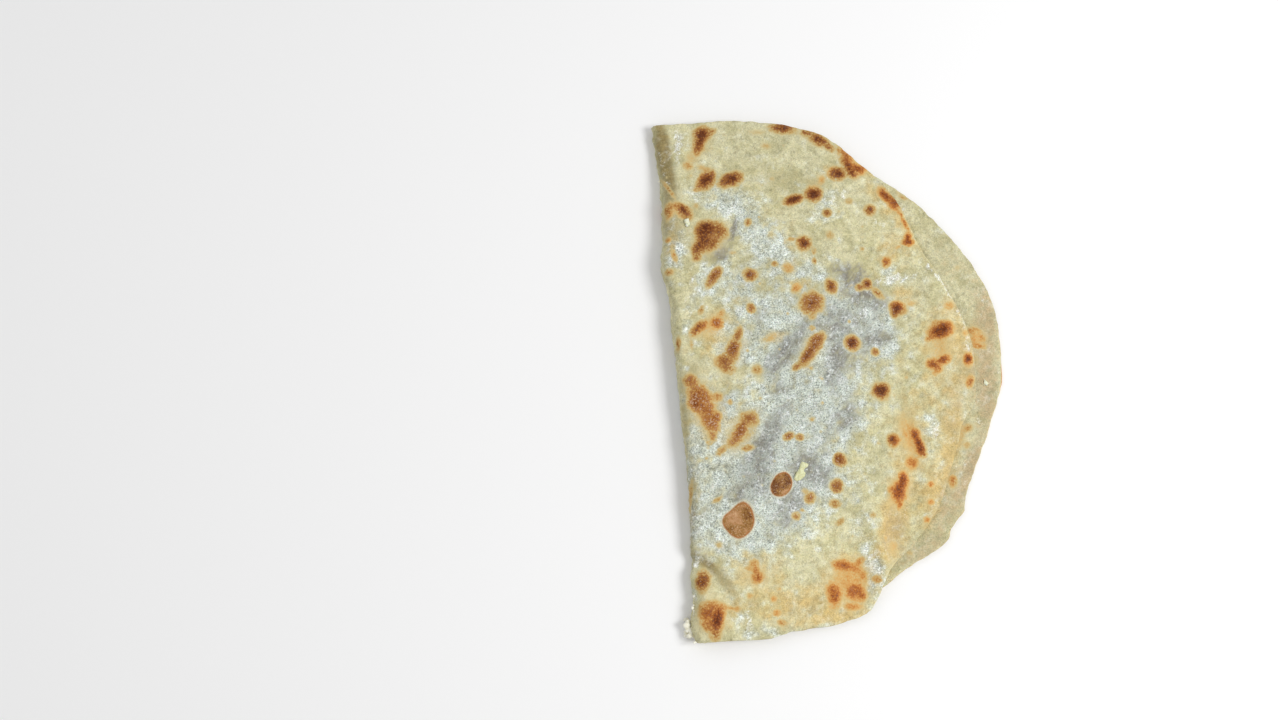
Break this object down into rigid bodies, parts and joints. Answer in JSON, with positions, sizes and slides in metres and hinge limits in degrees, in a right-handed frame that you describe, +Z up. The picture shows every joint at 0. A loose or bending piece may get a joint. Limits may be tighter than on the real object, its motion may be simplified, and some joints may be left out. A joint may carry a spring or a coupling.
{
  "type": "baleada",
  "caption": "Baleada: a soft toasted wheat tortilla folded in half over a thin layer of mashed beans, with bits of crumbled cheese on top. Prepared food to set on a plate.",
  "frame": {"origin": "middle of the bounding box at its underside, where the baleada rests", "axes": "+Z up, +Y along the fold, +X from the fold towards the open rounded edge"},
  "size_m": [0.1416, 0.2218, 0.0111],
  "materials": {
    "toasted_dough": "soft wheat dough, pale cream with brown toast spots, slightly waxy, roughness about 0.6",
    "mashed_beans": "moist mashed red beans, dark violet brown, roughness about 0.45",
    "crumbled_cheese": "crumbly fresh cheese, pale cream yellow, roughness about 0.55"
  },
  "bodies": {
    "root": {"tortilla": "toasted_dough", "bean_filling": "mashed_beans"}
  },
  "joints": []
}
